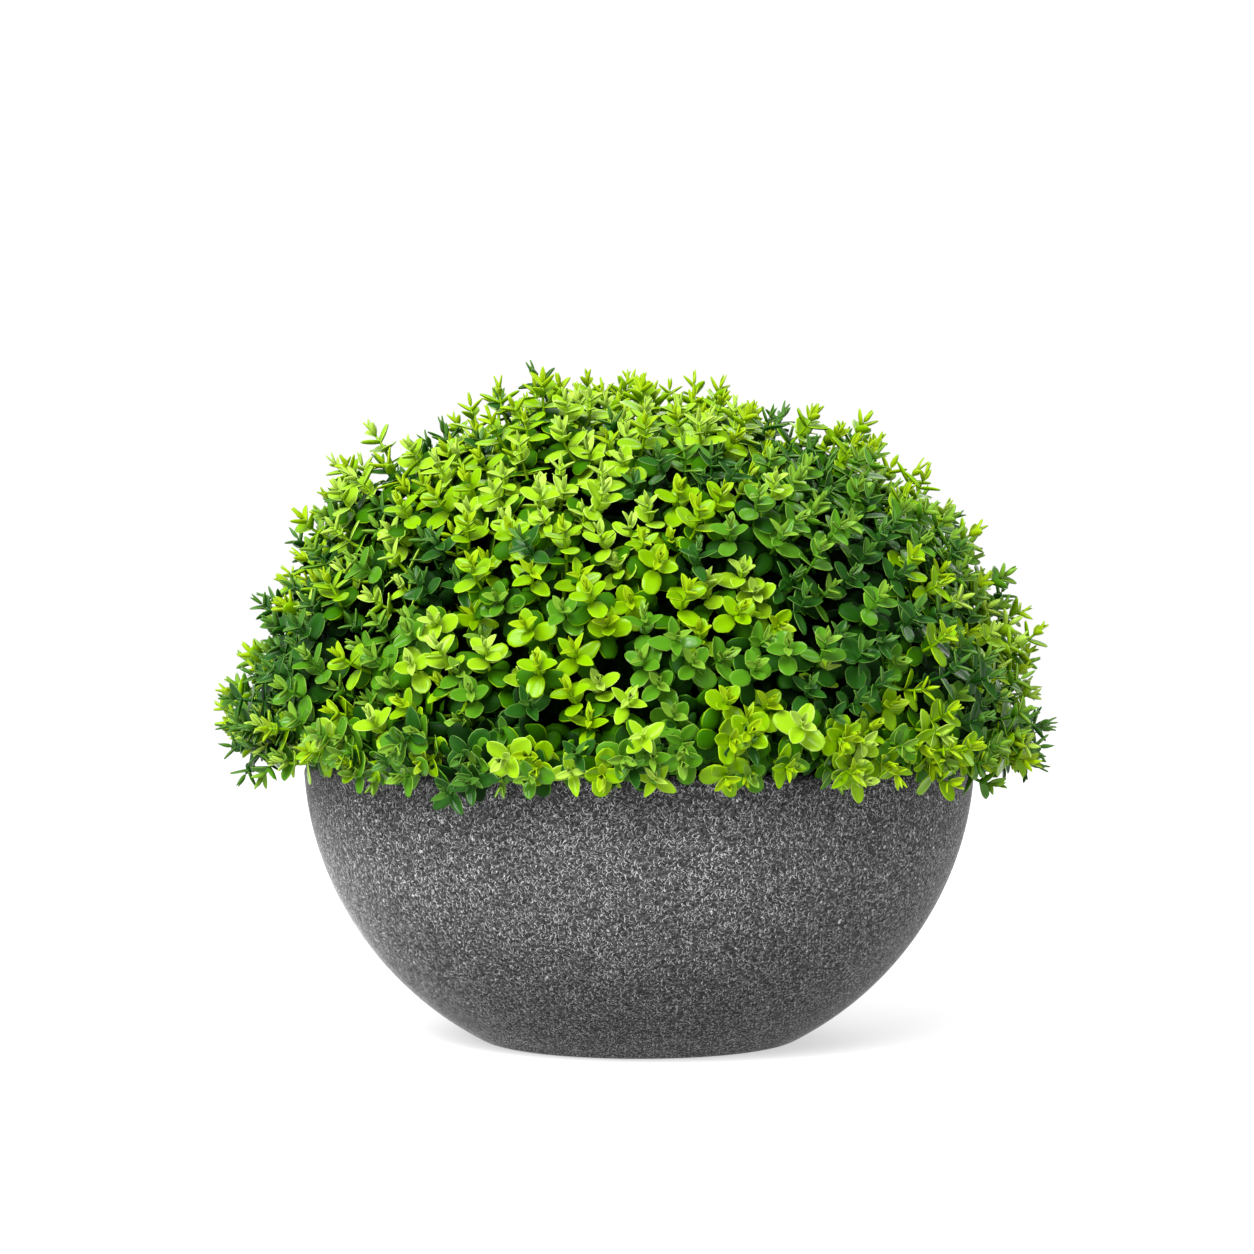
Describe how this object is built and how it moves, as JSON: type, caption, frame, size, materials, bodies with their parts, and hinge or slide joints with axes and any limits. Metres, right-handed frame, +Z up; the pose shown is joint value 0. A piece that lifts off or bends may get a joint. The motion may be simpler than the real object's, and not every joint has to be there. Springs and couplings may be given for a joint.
{
  "type": "artificial potted hebe globe",
  "caption": "Dome of small moulded leaves in limes and deep greens, filling and overhanging a round stone-look bowl planter with a flat foot.",
  "frame": {"origin": "centre of the bowl's flat underside, on the surface that it stands on", "axes": "+Z up; the bowl is round about Z; the picture looks along +Y, with +X to its right"},
  "size_m": [0.5082, 0.5027, 0.4053],
  "materials": {
    "bowl": "satin dark grey with pale curly flecks",
    "filling": "matt, rough",
    "stem": "matt, bark relief",
    "foliage": "soft moulded leaves with a slight gloss"
  },
  "bodies": {
    "root": {"bowl": "bowl", "filling": "filling", "stem": "stem", "foliage_top": "foliage", "foliage_side_1": "foliage", "foliage_side_2": "foliage", "foliage_side_3": "foliage", "foliage_side_4": "foliage", "foliage_side_5": "foliage", "foliage_side_6": "foliage"}
  },
  "joints": []
}
